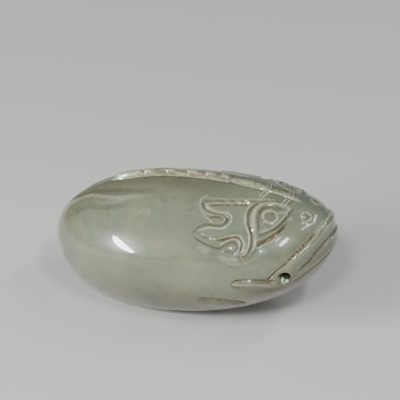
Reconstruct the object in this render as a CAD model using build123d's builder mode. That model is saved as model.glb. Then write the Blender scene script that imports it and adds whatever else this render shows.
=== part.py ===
from build123d import *
from math import cos, pi, radians, sin, sqrt
import os

# Pebble-form toggle of nephrite, carved as a stylised fish-beast.
# +X runs to the snout and +Z is up. The carving is symmetric about Y = 0.
# Sizes are millimetres. Shapes are laid out in the pebble's own axes, whose origin
# is the pebble's centre, and head_lift then tips those axes up at the snout.

# ---- the pebble ----
tail_reach = 29.5        # centre to the tail end
snout_reach = 35.8       # centre to the snout
half_width = 17.2        # centre to each flank
back_rise = 14.0         # centre to the line of the back
belly_drop = 17.7        # centre to the lowest line of the belly
head_lift = 10.0         # degrees that the snout is raised
rest_cut = 1.8           # how much of the belly is ground away as a flat
roof_power = 1.6         # cross-section above the centre: under 2 is ridged
bowl_power = 2.2         # cross-section below the centre: over 2 is full
forehead_power = 1.6     # fall of the forehead: under 2 is straighter
muzzle_power = 3.2       # plan of the head: over 2 is blunter

# ---- the crest along the back ----
crest_height = 1.3
crest_width = 2.4
crest_hooks = 6
crest_root = 2.0         # how deep the crest is rooted in the back, so that no gap shows
hook_step = 0.6          # drop from one hook's tip to the start of the next
hook_overhang = 0.5      # how far a tip stands back over the hook behind it
ridge_height = 1.0       # low ridge that runs on down the forehead

# ---- incised and drilled work ----
line_width = 0.5
line_depth = 0.4
lip_width = 0.8
lip_depth = 0.7
flute_width = 1.2
flute_depth = 0.25
eye_radius = 1.9
pupil_radius = 1.2
nostril_radius = 1.5
nostril_core_radius = 0.85
drill_depth = 0.45
cord_bore_radius = 1.25
forehead_pair_gap = 0.75
forehead_reach = 3.6     # how far the forehead lines run out to each side

# ---- packed earth and mineral grains ----
earth_gap = 0.15         # how far below the polished skin the packed earth stops
crest_earth_rise = 0.5   # share of a notch's face, under a hook's tip, that is packed
crest_earth_run = 0.12   # share of the next hook's back that is packed
crest_earth_width = 0.8
grain_radius = 0.45
grain_spacing = 1.3

# ---- the drawing of the carving, which stretches with the pebble it lies on ----
drawn_tail = 29.5
drawn_snout = 35.8
drawn_width = 17.2
drawn_rise = 14.0
drawn_drop = 17.7


def along(x):
    """Place along the pebble of a drawn x."""
    return x * (snout_reach / drawn_snout if x > 0 else tail_reach / drawn_tail)


def up(z):
    """Height from the pebble's centre of a drawn z."""
    return z * (back_rise / drawn_rise if z > 0 else belly_drop / drawn_drop)


def out(y):
    """Distance to the near side of a drawn y."""
    return y * half_width / drawn_width


crest_tail = along(-14.5)
crest_front = along(14.5)
ridge_front = along(28.0)
forehead_pairs = (along(21.2), along(26.4))
eye_spot = (along(24.3), out(-7.2))
nostril_spot = (along(31.1), out(-3.4))
cord_spot = (along(27.3), up(-4.5))

# Each line is a few points (along, up), as seen square on to the flank.
upper_lip = [(36.5, 5.0), (34.1, 3.4), (31.0, 1.0), (27.9, -1.5), (24.4, -4.2)]
mouth_cleft = [(37.0, 1.2), (34.8, -0.3), (32.2, -2.7), (29.0, -4.3)]
chin_line = [(36.6, -1.6), (33.3, -3.4), (31.3, -4.8), (28.6, -6.0)]
eyelid_line = [(28.4, 7.2), (28.1, 6.3), (27.2, 5.5), (25.6, 4.6), (22.8, 3.7)]
eye_outline = [(22.6, 5.6), (21.7, 7.5), (23.1, 8.7), (25.8, 7.8), (27.4, 6.8)]
scroll_top = [(9.7, 11.1), (15.4, 10.6), (20.8, 9.6)]
scroll_rim = [(11.3, 10.4), (15.7, 10.1), (20.2, 9.4)]
scroll_hook = [(9.4, 10.9), (9.3, 10.2), (10.4, 9.4), (12.4, 8.3)]
scroll_lobe = [(11.2, 10.1), (13.3, 9.4), (16.1, 8.5), (15.2, 7.5), (11.9, 7.7), (9.0, 6.9)]
scroll_foot = [(9.0, 6.2), (11.4, 4.9), (15.0, 3.8), (17.4, 4.7), (19.1, 3.8), (18.4, 2.5)]
gill_band = [(22.2, 9.1), (20.3, 8.4), (20.9, 6.4), (22.1, 4.2), (21.3, 2.1), (18.9, 1.5)]
limb_top = [(16.8, -3.7), (21.8, -4.0), (25.2, -5.2)]
limb_base = [(16.9, -5.4), (21.5, -6.6), (25.8, -6.9)]
belly_fold = [(10.0, -8.9), (14.0, -9.8), (17.5, -11.5)]
upper_flute = [(-24.0, 8.0), (-15.5, 11.0), (-4.1, 12.3), (2.0, 12.5)]
lower_flute = [(-26.0, 6.0), (-14.0, 9.5), (-3.2, 10.9), (1.2, 11.3)]

cheek_lines = [scroll_top, scroll_rim, scroll_hook, scroll_lobe, scroll_foot, gill_band]
mouth_lines = [mouth_cleft, chin_line]
belly_lines = [limb_top, limb_base, belly_fold]

# Stretches of the lines, along the pebble, that hold packed earth.
mouth_earth_span = (along(25.0), along(33.0))
eyelid_earth_span = (along(23.2), along(27.8))
scroll_earth_span = (along(14.0), along(19.8))

# ---- how finely the pebble's form is laid out ----
section_points = 24      # points round each lengthwise section
section_steps = 6        # steps from the middle section to the flank
flank_turn = radians(85) # the last section, a small flat on the widest part of the flank


def radii(x, inset):
    """Rise, drop and half width of the pebble at x, with its skin taken in by inset."""
    reach = (snout_reach if x > 0 else tail_reach) - inset
    share = min(abs(x) / reach, 1)
    rise = (back_rise - inset) * sqrt(1 - share ** (forehead_power if x > 0 else 2))
    drop = (belly_drop - inset) * sqrt(1 - share ** 2)
    side = (half_width - inset) * sqrt(1 - share ** (muzzle_power if x > 0 else 2))
    return rise, drop, side


def skin_height(x, y, inset=0, below=False):
    """Height of the pebble's back, or of its belly, over (x, y)."""
    rise, drop, side = radii(x, inset)
    if abs(y) >= side:
        return 0
    power = bowl_power if below else roof_power
    fullness = (1 - (abs(y) / side) ** power) ** (1 / power)
    return -drop * fullness if below else rise * fullness


def skin_side(x, z):
    """How far out the pebble's skin lies from the middle, at (x, z) on the belly."""
    _, drop, side = radii(x, 0)
    return side * (1 - (abs(z) / drop) ** bowl_power) ** (1 / bowl_power)


def section_wire(y, inset):
    """Outline of the pebble's lengthwise section at y, its back and belly as two edges."""
    spread = 1 - (y / (half_width - inset)) ** 2
    front = (snout_reach - inset) * spread ** (1 / muzzle_power)
    rear = (tail_reach - inset) * sqrt(spread)
    points = []
    for step in range(section_points):
        turn = 2 * pi * step / section_points
        x = cos(turn) * (front if cos(turn) > 0 else rear)
        points.append((x, skin_height(x, y, inset, below=sin(turn) < 0)))
    turns = [float(step) for step in range(section_points + 1)]
    outline = Edge.make_spline(points, periodic=True, parameters=turns)
    tail_end = outline.param_at_point((-rear, 0))
    return Wire([outline.trim(0, tail_end), outline.trim(tail_end, 1)])


# ---- the pebble's place: on its flat, with its box centred over the origin ----
tip = radians(head_lift)
tipped_box = section_wire(0, 0).rotate(Axis.Z, head_lift).bounding_box()
pebble_axes = Plane(
    origin=(-tipped_box.center().X, 0, -tipped_box.min.Y - rest_cut),
    x_dir=(cos(tip), 0, sin(tip)),
    z_dir=(-sin(tip), 0, cos(tip)),
)
flank = Plane(origin=pebble_axes.origin, x_dir=pebble_axes.x_dir, z_dir=(0, -1, 0))


def skin_plane(x, y):
    """Plane on the pebble's back at (x, y), facing straight out of the skin."""
    step = 0.05
    height = skin_height(x, y)
    slope_x = (skin_height(x + step, y) - skin_height(x - step, y)) / (2 * step)
    slope_y = (skin_height(x, y + step) - skin_height(x, y - step)) / (2 * step)
    spot = pebble_axes.from_local_coords(Vector(x, y, height))
    outside = pebble_axes.from_local_coords(Vector(x - slope_x, y - slope_y, height + 1))
    return Plane(origin=spot, z_dir=outside - spot)


def pebble_half(inset):
    """Near half of the pebble, its skin taken in by inset, lofted out to the flank."""
    slices = []
    for step in range(section_steps + 1):
        y = (half_width - inset) * sin(flank_turn * step / section_steps)
        slices.append(flank.offset(y).location * Face(section_wire(y, inset)))
    with BuildPart() as form:
        loft(sections=slices, clean=False)
    return form.part


def engraving(lines, width, floor):
    """Bands of one width along the lines, from the floor form out past the near flank."""
    with BuildPart() as bands:
        with BuildSketch(flank):
            for line in lines:
                with BuildLine():
                    Spline(*[(along(x), up(z)) for x, z in line])
                trace(line_width=width)
        extrude(amount=half_width + lip_width)
        add(floor, mode=Mode.SUBTRACT)
    return bands.part


def drilled_ring(plane, radius, core_radius):
    """Ring that a tubular drill leaves where it is run square into the skin."""
    with BuildPart() as ring:
        with BuildSketch(plane.offset(-drill_depth)):
            Circle(radius)
            Circle(core_radius, mode=Mode.SUBTRACT)
        extrude(amount=3 * drill_depth)
    return ring.part


# ---- crest outline: hooks that sweep back, then a low ridge down the forehead ----
hook_pitch = (crest_front - crest_tail) / crest_hooks


def hook_start(hook):
    """Front foot of a hook. Hooks are counted from the head."""
    x = crest_front - hook * hook_pitch
    return x, skin_height(x, 0) + crest_height - hook_step


def hook_tip(hook):
    """Rear tip of a hook, which stands over the start of the hook behind it."""
    x = crest_front - (hook + 1) * hook_pitch
    return x - hook_overhang, skin_height(x, 0) + crest_height


def between(start, end, share):
    """Point that lies this share of the way from start to end."""
    return tuple(a + (b - a) * share for a, b in zip(start, end))


ridge_middle = (crest_front + ridge_front) / 2
crest_outline = [(crest_tail, skin_height(crest_tail, 0) - crest_root)]
for hook in reversed(range(crest_hooks)):
    crest_outline.append(hook_tip(hook))
    crest_outline.append(hook_start(hook))
crest_outline += [
    (ridge_middle, skin_height(ridge_middle, 0) + ridge_height),
    (ridge_front, skin_height(ridge_front, 0) + ridge_height / 2),
    (ridge_front, skin_height(ridge_front, 0) - crest_root),
    (crest_front, skin_height(crest_front, 0) - 2 * crest_root),
]

with BuildPart() as crest_half:
    with BuildSketch(flank):
        with BuildLine():
            Polyline(*crest_outline, close=True)
        make_face()
    extrude(amount=crest_width / 2)
    with BuildSketch(pebble_axes):
        with Locations(((crest_tail + ridge_front) / 2, 0)):
            Ellipse((ridge_front - crest_tail) / 2 + hook_overhang, crest_width / 2)
    extrude(amount=back_rise + 2 * crest_root, mode=Mode.INTERSECT)

# ---- blanks that the carving is cut with ----
skin = pebble_half(0)
line_floor = pebble_half(line_depth)
lip_floor = pebble_half(lip_depth)
flute_floor = pebble_half(flute_depth)
earth_skin = pebble_half(earth_gap)

line_cuts = engraving(
    [*mouth_lines, *cheek_lines, *belly_lines, eye_outline], line_width, line_floor
)
lip_cuts = engraving([upper_lip, eyelid_line], lip_width, lip_floor)
flute_cuts = engraving([upper_flute, lower_flute], flute_width, flute_floor)
eye_ring = drilled_ring(skin_plane(*eye_spot), eye_radius, pupil_radius)
nostril_ring = drilled_ring(skin_plane(*nostril_spot), nostril_radius, nostril_core_radius)

with BuildPart() as forehead_cuts:
    with BuildSketch(pebble_axes):
        for pair in forehead_pairs:
            with Locations((pair, 0), (pair + forehead_pair_gap, 0)):
                Rectangle(line_width / 2, forehead_reach, align=(Align.CENTER, Align.MAX))
    extrude(amount=back_rise + crest_height)
    add(line_floor, mode=Mode.SUBTRACT)

# ---- the stone: its near half, its twin, then the cord bore through both ----
with BuildPart() as jade_stone:
    add(skin)
    add(crest_half.part)
    add(forehead_cuts.part, mode=Mode.SUBTRACT)
    add(flute_cuts, mode=Mode.SUBTRACT)
    add(line_cuts, mode=Mode.SUBTRACT)
    add(lip_cuts, mode=Mode.SUBTRACT)
    add(eye_ring, mode=Mode.SUBTRACT)
    add(nostril_ring, mode=Mode.SUBTRACT)
    split(bisect_by=Plane.XY, keep=Keep.TOP)
    mirror(about=Plane.XZ)
    with BuildSketch(flank):
        with Locations(cord_spot):
            Circle(cord_bore_radius)
    extrude(amount=half_width, both=True, mode=Mode.SUBTRACT)
jade_stone.part.label = "jade_stone"


# ---- earth packed in the lines, one node for each group of lines ----
def packed_earth(line, width, floor, rear, front):
    """Earth lying in an engraved line of both flanks between rear and front."""
    with BuildPart() as earth:
        add(engraving([line], width, floor))
        add(earth_skin, mode=Mode.INTERSECT)
        with BuildSketch(flank):
            with Locations(((rear + front) / 2, 0)):
                Rectangle(front - rear, 2 * half_width)
        extrude(amount=half_width, mode=Mode.INTERSECT)
        mirror(about=Plane.XZ)
    return earth.part


with BuildPart() as mouth_earth:
    add(packed_earth(upper_lip, lip_width, lip_floor, *mouth_earth_span))
mouth_earth.part.label = "mouth_earth"

with BuildPart() as eyelid_earth:
    add(packed_earth(eyelid_line, lip_width, lip_floor, *eyelid_earth_span))
eyelid_earth.part.label = "eyelid_earth"

with BuildPart() as scroll_earth:
    add(packed_earth(scroll_rim, line_width, line_floor, *scroll_earth_span))
scroll_earth.part.label = "scroll_earth"

with BuildPart() as crest_earth:
    with BuildSketch(flank):
        for hook in range(crest_hooks - 1):
            root = hook_start(hook + 1)
            with BuildLine():
                Polyline(
                    root,
                    between(root, hook_tip(hook), crest_earth_rise),
                    between(root, hook_tip(hook + 1), crest_earth_run),
                    close=True,
                )
            make_face()
    extrude(amount=crest_earth_width / 2, both=True)
crest_earth.part.label = "crest_earth"

# ---- green mineral grains on the lower rim of the near cord hole ----
grain_ring = cord_bore_radius + grain_radius
grain_z = cord_spot[1] - sqrt(grain_ring ** 2 - (grain_spacing / 2) ** 2)
grain_spots = [
    flank.offset(skin_side(x, grain_z)).from_local_coords((x, grain_z))
    for x in (cord_spot[0] - grain_spacing / 2, cord_spot[0] + grain_spacing / 2)
]
with BuildPart() as rim_grains:
    with Locations(*grain_spots):
        Sphere(grain_radius)
    add(jade_stone.part, mode=Mode.SUBTRACT)
rim_grains.part.label = "rim_grains"

# ---- files ----
os.makedirs("parts", exist_ok=True)
export_step(jade_stone.part, "parts/jade_stone.step")
export_step(mouth_earth.part, "parts/mouth_earth.step")
export_step(eyelid_earth.part, "parts/eyelid_earth.step")
export_step(scroll_earth.part, "parts/scroll_earth.step")
export_step(crest_earth.part, "parts/crest_earth.step")
export_step(rim_grains.part, "parts/rim_grains.step")
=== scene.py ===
import bmesh
import bpy
import math
import numpy as np
from mathutils import Matrix, Vector, noise


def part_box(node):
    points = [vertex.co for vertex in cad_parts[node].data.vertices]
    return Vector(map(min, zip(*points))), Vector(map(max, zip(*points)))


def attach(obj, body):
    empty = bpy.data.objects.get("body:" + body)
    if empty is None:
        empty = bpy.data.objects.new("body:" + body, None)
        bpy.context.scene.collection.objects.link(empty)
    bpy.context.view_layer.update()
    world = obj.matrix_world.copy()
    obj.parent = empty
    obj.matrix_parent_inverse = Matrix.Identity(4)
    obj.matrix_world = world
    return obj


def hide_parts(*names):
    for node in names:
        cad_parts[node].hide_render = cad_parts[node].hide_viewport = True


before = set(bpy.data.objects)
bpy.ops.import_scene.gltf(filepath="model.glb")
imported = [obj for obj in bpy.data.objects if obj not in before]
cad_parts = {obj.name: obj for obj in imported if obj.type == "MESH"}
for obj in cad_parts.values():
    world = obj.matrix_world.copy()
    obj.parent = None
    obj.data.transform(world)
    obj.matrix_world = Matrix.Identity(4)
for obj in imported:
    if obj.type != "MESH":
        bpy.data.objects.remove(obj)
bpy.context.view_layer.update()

# A polished nephrite toggle, carved as a stylised fish-beast. Shapes are laid out in
# millimetres in the pebble's own axes, x to the snout, y across and z up, with the
# origin at the pebble's centre. to_row() tips them and puts them in the row frame.

MM = 0.001

# The plain pebble: how far it reaches from its centre to each side, and the powers that
# its cross-sections and its outlines towards the snout follow.
TAIL, SNOUT, HALF, RISE, DROP = 29.5, 35.8, 17.2, 14.0, 17.7
ROOF, BOWL, BROW, MUZZLE = 1.6, 2.2, 1.6, 3.2
LIFT = math.radians(10)             # how far the head is tipped up

# The pebble's centre, from the lowest corner of the CAD stone's box.
FROM_TAIL, FROM_TABLE = 29.167, 16.368
stone_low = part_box("jade_stone")[0]
centre = np.array([stone_low.x / MM + FROM_TAIL, 0.0, stone_low.z / MM + FROM_TABLE])


def to_row(points):
    """Pebble axes in millimetres to the row frame in metres."""
    x, y, z = np.asarray(points, float).T
    tipped = np.stack([
        x * math.cos(LIFT) - z * math.sin(LIFT),
        y,
        x * math.sin(LIFT) + z * math.cos(LIFT),
    ], axis=-1)
    return (tipped + centre) * MM


# ---- the pebble's plain form ----
def radii(x):
    """Height, depth and half width of the cross-section at x."""
    front = x > 0
    share = np.clip(np.where(front, x / SNOUT, -x / TAIL), 0, 1)
    rise = RISE * np.sqrt(1 - share ** np.where(front, BROW, 2.0))
    drop = DROP * np.sqrt(1 - share ** 2)
    side = HALF * np.sqrt(1 - share ** np.where(front, MUZZLE, 2.0))
    return rise, drop, side


def outside(p):
    """True where p lies outside the plain form."""
    x, y, z = p.T
    rise, drop, side = radii(x)
    above = z > 0
    height = np.maximum(np.where(above, rise, drop), 1e-6)
    power = np.where(above, ROOF, BOWL)
    level = (np.abs(y) / np.maximum(side, 1e-6)) ** power + (np.abs(z) / height) ** power
    return (level > 1) | (x > SNOUT) | (x < -TAIL)


FAR, HALVINGS = 60.0, 42            # how far a ray is searched, and how often that is halved


def cast(rays):
    """Where rays from the pebble's centre leave the plain form."""
    low, high = np.zeros(len(rays)), np.full(len(rays), FAR)
    for _ in range(HALVINGS):
        middle = (low + high) / 2
        out = outside(rays * middle[:, None])
        high = np.where(out, middle, high)
        low = np.where(out, low, middle)
    return rays * low[:, None]


# ---- a net of lines drawn round the pebble, closer together where it is carved ----
def stops(*spans):
    """Line positions from -1 to 1; each span is (start, end, number of steps)."""
    lines = [np.linspace(a, b, n, endpoint=False) for a, b, n in spans]
    return np.append(np.concatenate(lines), spans[-1][1])


NET_LINES = (
    stops((-1, -0.55, 16), (-0.55, 0.25, 64), (0.25, 1, 102)),
    stops((-1, -0.14, 23), (-0.14, 0.14, 32), (0.14, 1, 23)),
    stops((-1, -0.45, 10), (-0.45, 0.32, 52), (0.32, 0.75, 46), (0.75, 1, 18)))
NET_SHAPE = np.array([32.6, HALF, 16.0])    # half sizes that the cube is drawn out to


def net():
    """Points and quads of a net drawn on a cube, which cast() then lays on the pebble."""
    points, quads, start = [], [], 0
    for axis, sign in ((0, 1), (0, -1), (1, 1), (1, -1), (2, 1), (2, -1)):
        first, second = (a for a in range(3) if a != axis)
        u, v = np.meshgrid(NET_LINES[first], NET_LINES[second], indexing="ij")
        face = np.empty(u.shape + (3,))
        face[..., first], face[..., second], face[..., axis] = u, v, sign
        index = start + np.arange(u.size).reshape(u.shape)
        cells = np.stack([index[:-1, :-1], index[1:, :-1], index[1:, 1:], index[:-1, 1:]], -1)
        cells = cells.reshape(-1, 4)
        outward = sign > 0 if axis != 1 else sign < 0
        points.append(face.reshape(-1, 3))
        quads.append(cells if outward else cells[:, ::-1])
        start += u.size
    _, keep, same = np.unique(np.round(np.concatenate(points), 9), axis=0, return_index=True,
                              return_inverse=True)
    return np.concatenate(points)[keep], same.reshape(-1)[np.concatenate(quads)]


cube, quads = net()
base = cast(cube * NET_SHAPE / HALF)
sides = [quads[:, [k, (k + 1) % 4]] for k in range(4)]
pairs = np.unique(np.sort(np.concatenate(sides), axis=1), axis=0)
degree = np.bincount(pairs.ravel(), minlength=len(base))


def mean_round(values):
    """Mean of each point's neighbours."""
    values = values.reshape(len(base), -1)
    total = np.stack([
        np.bincount(pairs[:, 0], values[pairs[:, 1], k], len(base))
        + np.bincount(pairs[:, 1], values[pairs[:, 0], k], len(base))
        for k in range(values.shape[1])], -1)
    return total / degree[:, None]


def normals_of(points):
    """Outward direction at each point of the net."""
    a, b, c, d = (points[quads[:, k]] for k in range(4))
    face = np.cross(c - a, d - b)
    total = np.zeros_like(points)
    for k in range(4):
        for axis in range(3):
            total[:, axis] += np.bincount(quads[:, k], face[:, axis], len(points))
    return total / np.linalg.norm(total, axis=1)[:, None]


# The quarters of the plain form meet in faint creases, which polishing has taken off.
CREASE_WIDTH, POLISH_ROUNDS, POLISH_PULL = 2.5, 60, 0.5
crease = np.maximum(np.exp(-(base[:, 2] / CREASE_WIDTH) ** 2),
                    np.exp(-(base[:, 0] / CREASE_WIDTH) ** 2))
for _ in range(POLISH_ROUNDS):
    base += POLISH_PULL * crease[:, None] * (mean_round(base) - base)
normal = normals_of(base)

# The carving is the same on both flanks, so it is measured on one.
spot = base * [1, 0, 1] + np.abs(base) * [0, 1, 0]
facing = normal * [1, 0, 1] + np.abs(normal) * [0, 1, 0]


# ---- carving tools ----
def smooth(a, b, x):
    """Smooth step: 0 up to a, 1 from b on."""
    t = np.clip((x - a) / (b - a), 0, 1)
    return t * t * (3 - 2 * t)


def bump(distance, width):
    """Rounded bump: 1 at no distance, 0 from the width on."""
    return np.maximum(1 - (distance / width) ** 2, 0) ** 2


def curve(points, count=24):
    """Smooth line through a few points."""
    p = np.asarray(points, float)
    p = np.concatenate([[2 * p[0] - p[1]], p, [2 * p[-1] - p[-2]]])
    out = []
    for i in range(1, len(p) - 2):
        t = np.linspace(0, 1, count, endpoint=False)[:, None]
        a, b, c, d = p[i - 1], p[i], p[i + 1], p[i + 2]
        out.append(0.5 * (2 * b + (c - a) * t + (2 * a - 5 * b + 4 * c - d) * t ** 2
                          + (3 * b - a - 3 * c + d) * t ** 3))
    out.append(p[-2][None])
    return np.concatenate(out)


def beside(line, reach):
    """The points within reach of a line: their numbers, distances from it and shares along."""
    low, high = line.min(0) - reach, line.max(0) + reach
    near = np.flatnonzero(((spot > low) & (spot < high)).all(1))
    place, out = spot[near], facing[near]
    best, share = np.full(len(near), np.inf), np.zeros(len(near))
    steps = np.linalg.norm(np.diff(line, axis=0), axis=1)
    walked = np.concatenate([[0], np.cumsum(steps)])
    for i in range(len(line) - 1):
        a, d = line[i], line[i + 1] - line[i]
        t = np.clip((place - a) @ d / (d @ d + 1e-12), 0, 1)
        off = place - (a + t[:, None] * d)
        off -= (off * out).sum(1)[:, None] * out
        gap = np.linalg.norm(off, axis=1)
        closer = gap < best
        best = np.where(closer, gap, best)
        share = np.where(closer, (walked[i] + t * steps[i]) / walked[-1], share)
    keep = best < reach
    return near[keep], best[keep], share[keep]


# What the carving does to each point: height in millimetres, the rest from 0 to 1.
height = np.zeros(len(base))
soil = np.zeros(len(base))
# Painted shade in the grooves and hollows.
groove = np.zeros(len(base))
# Pale tops of the raised lines: part rubbed wear, part painted highlight.
edge = np.zeros(len(base))


def ends(share, start, stop):
    """Fades a stroke in and out over these shares of its length."""
    fade = np.ones_like(share)
    if start:
        fade = fade * smooth(0, start, share)
    if stop:
        fade = fade * smooth(0, stop, 1 - share)
    return fade


FADE = 0.06                         # share of a stroke over which it comes in or goes out
STAIN_REACH = 2.2                   # how far soil spreads, in widths of the groove


def fade_in(line):
    """A line that starts on the middle plane meets its mirror image, so it doesn't fade in."""
    return 0.0 if line[0, 1] < 0.1 else FADE


def cut(line, width, depth, start=FADE, stop=FADE, stain=0.0, tone=1.0):
    """Rounded groove, with a given share of painted shade in it; stain is how much soil is in it.
    """
    index, gap, share = beside(line, STAIN_REACH * width)
    fade = ends(share, start, stop)
    form = bump(gap, width) * fade
    height[index] -= depth * form
    groove[index] = np.maximum(groove[index], tone * form)
    soil[index] = np.maximum(soil[index], stain * bump(gap, STAIN_REACH * width) * fade)


def raise_line(line, width, rise, start=FADE, stop=FADE, tint=0.0):
    """Rounded raised line; tint is how pale its top is painted, part rubbed wear and part painted
    highlight.
    """
    index, gap, share = beside(line, width)
    form = bump(gap, width) * ends(share, start, stop)
    height[index] += rise * form
    edge[index] = np.maximum(edge[index], tint * form)


def shares(line):
    """Share of a line's length that lies before each of its points."""
    steps = np.linalg.norm(np.diff(line, axis=0), axis=1)
    return np.concatenate([[0], np.cumsum(steps)]) / steps.sum()


def part(line, start, stop):
    """The stretch of a line between two shares of its length."""
    return line[(shares(line) >= start) & (shares(line) <= stop)]


def beside_line(line, step):
    """A line that runs a step to one side of another, on the plain form."""
    forward = np.gradient(line, axis=0)
    out = line / (np.array([SNOUT, HALF, DROP]) ** 2)
    aside = np.cross(forward, out)
    return cast(line + step * aside / np.linalg.norm(aside, axis=1)[:, None])


def on_skin(points):
    """Smooth line through a few points, laid on the plain form."""
    return cast(curve(points))


# ---- the carving: lines through a few points (x, y, z) on the near flank ----
# The scroll on the cheek.
top_edge = on_skin([(9.6, 6.3, 11.5), (13.4, 6.1, 11.0), (17.5, 5.2, 10.5), (21.1, 4.0, 10.0)])
top_groove = on_skin([(9.8, 7.1, 11.0), (13.4, 6.5, 10.7), (17.5, 5.5, 10.2), (21.6, 4.4, 9.5)])
top_ridge = on_skin([(10.4, 7.6, 10.65), (12.4, 7.2, 10.5), (15.2, 6.6, 10.3), (20.6, 5.0, 9.7)])
under_groove = on_skin([(11.2, 7.8, 10.4), (14.6, 7.1, 10.15), (17.7, 6.4, 9.8), (19.9, 5.8, 9.5)])
left_rim = on_skin([(10.6, 5.4, 11.6), (9.8, 6.1, 11.5), (9.35, 6.8, 11.2), (9.3, 7.8, 10.7),
                    (9.9, 9.0, 9.9), (11.0, 9.5, 9.4), (12.7, 9.8, 9.0), (14.4, 9.5, 8.9),
                    (15.3, 9.9, 8.4), (15.2, 10.7, 7.9), (14.3, 11.2, 7.6)])
hook_groove = on_skin([(10.3, 6.9, 11.0), (9.8, 7.4, 10.8), (9.95, 7.9, 10.55), (10.8, 8.7, 9.9),
                       (11.9, 9.3, 9.5), (13.3, 9.4, 9.15), (14.9, 9.5, 8.8), (15.8, 10.0, 8.3),
                       (15.8, 10.5, 7.9), (15.2, 11.2, 7.55), (13.6, 11.6, 7.5), (12.0, 11.6, 7.8),
                       (10.9, 11.8, 7.7), (9.8, 12.4, 7.35), (9.0, 13.1, 6.8), (8.1, 13.4, 6.5)])
hook_ridge = on_skin([(10.5, 7.5, 10.65), (11.2, 8.3, 10.1), (12.5, 8.8, 9.6), (14.2, 9.0, 9.2),
                      (15.6, 8.8, 9.0), (16.5, 9.3, 8.6), (16.8, 9.9, 8.1), (16.5, 10.9, 7.5),
                      (15.7, 11.6, 7.1), (14.6, 12.1, 6.9), (13.4, 12.1, 7.1), (12.0, 12.3, 7.2),
                      (10.9, 12.7, 7.0), (9.8, 13.0, 6.8)])
hook_foot = on_skin([(9.8, 9.3, 9.7), (10.8, 10.1, 9.1), (11.8, 10.7, 8.5), (12.9, 11.2, 8.0)])
lobe_groove = on_skin([(12.1, 10.3, 8.8), (13.4, 9.95, 8.75), (14.8, 9.9, 8.6)])
low_edge = on_skin([(9.0, 13.8, 6.1), (10.6, 14.4, 5.3), (12.2, 14.8, 4.6), (13.6, 14.95, 4.1),
                    (15.0, 14.9, 3.85), (16.2, 14.4, 4.3), (17.1, 13.9, 4.6), (18.0, 13.7, 4.65),
                    (18.8, 13.9, 4.3), (19.0, 14.3, 3.7), (18.9, 14.8, 3.0), (18.4, 15.4, 2.3)])
curl_in = on_skin([(15.1, 14.6, 4.35), (16.2, 14.0, 4.8), (17.7, 13.3, 5.1), (18.8, 13.3, 4.9),
                   (19.3, 13.7, 4.2), (19.2, 14.5, 3.3), (18.7, 15.3, 2.3)])
curl_mid = on_skin([(15.2, 14.0, 5.0), (16.1, 13.6, 5.2), (17.7, 13.0, 5.4), (18.8, 12.9, 5.3),
                    (19.55, 13.3, 4.6), (19.7, 14.0, 3.8), (19.5, 14.7, 2.9), (19.1, 15.2, 2.3)])
curl_out = on_skin([(10.6, 13.2, 6.5), (12.4, 13.7, 5.8), (13.6, 13.9, 5.4), (14.8, 13.7, 5.4),
                    (16.0, 13.3, 5.6), (17.7, 12.7, 5.75), (19.0, 12.5, 5.6), (19.75, 12.9, 5.0),
                    (20.1, 13.5, 4.2), (20.0, 14.3, 3.3), (19.7, 14.8, 2.7)])
pit_a = on_skin([(11.0, 13.5, 6.0), (11.8, 13.7, 5.85), (12.7, 13.8, 5.65)])
pit_b = on_skin([(14.0, 13.8, 5.3), (15.0, 13.8, 5.2), (16.2, 13.45, 5.35), (17.4, 13.05, 5.5)])
band_ridge = on_skin([(21.0, 4.7, 9.6), (20.0, 6.0, 9.35), (19.55, 7.2, 9.0), (19.45, 8.6, 8.3),
                      (19.6, 9.8, 7.5), (20.2, 10.7, 6.7), (20.9, 11.8, 5.6), (21.2, 12.8, 4.6),
                      (21.0, 14.1, 3.2), (20.3, 14.8, 2.4), (19.1, 15.4, 1.8)])
band_groove = on_skin([(21.6, 4.6, 9.45), (20.5, 6.0, 9.2), (20.0, 7.4, 8.7), (20.0, 8.6, 8.1),
                       (20.3, 9.7, 7.3), (20.9, 10.8, 6.4), (21.6, 11.8, 5.3), (21.8, 12.9, 4.3),
                       (21.5, 13.9, 3.2), (20.9, 14.8, 2.1), (19.9, 15.4, 1.5), (18.6, 15.9, 1.2)])
broad_band = on_skin([(23.1, 4.5, 9.0), (21.8, 6.2, 8.8), (21.3, 7.5, 8.3), (21.4, 9.0, 7.5),
                      (21.9, 10.4, 6.4), (22.35, 11.6, 5.2), (22.4, 12.7, 4.2), (22.1, 13.9, 3.0),
                      (21.4, 14.8, 1.9), (20.3, 15.4, 1.3), (18.8, 15.8, 1.1), (16.6, 16.2, 1.4)])
panel_foot = on_skin([(15.9, 16.3, 1.1), (17.6, 16.2, 0.7), (19.3, 15.9, 0.5), (21.4, 15.2, 0.9),
                      (22.6, 14.3, 2.1), (23.0, 13.5, 3.0)])
ball_foot = on_skin([(15.9, 15.3, 3.3), (17.0, 15.0, 3.1), (18.2, 15.0, 2.9)])

# The eye, from its lids out to the cheek and the brow.
lid_ridge = on_skin([(21.5, 6.2, 8.8), (22.3, 5.3, 9.0), (23.1, 4.5, 9.0), (24.7, 3.7, 8.7),
                     (26.3, 3.4, 8.1), (27.6, 3.5, 7.5), (27.45, 4.7, 7.15), (27.1, 6.0, 6.8),
                     (26.5, 7.4, 6.4), (25.5, 9.0, 5.9), (24.3, 10.2, 5.6), (22.7, 11.2, 5.5)])
lid_groove = on_skin([(28.1, 3.0, 7.35), (27.9, 4.6, 7.0), (27.6, 6.0, 6.6), (26.9, 7.8, 6.0),
                      (25.6, 9.4, 5.55), (24.4, 10.5, 5.3), (22.7, 11.5, 5.2)])
lid_roll = on_skin([(28.2, 4.6, 6.9), (27.95, 6.2, 6.3), (26.9, 8.5, 5.5), (25.7, 10.1, 5.0),
                    (24.6, 11.1, 4.75), (23.6, 11.8, 4.6), (22.7, 12.4, 4.4)])
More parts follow.
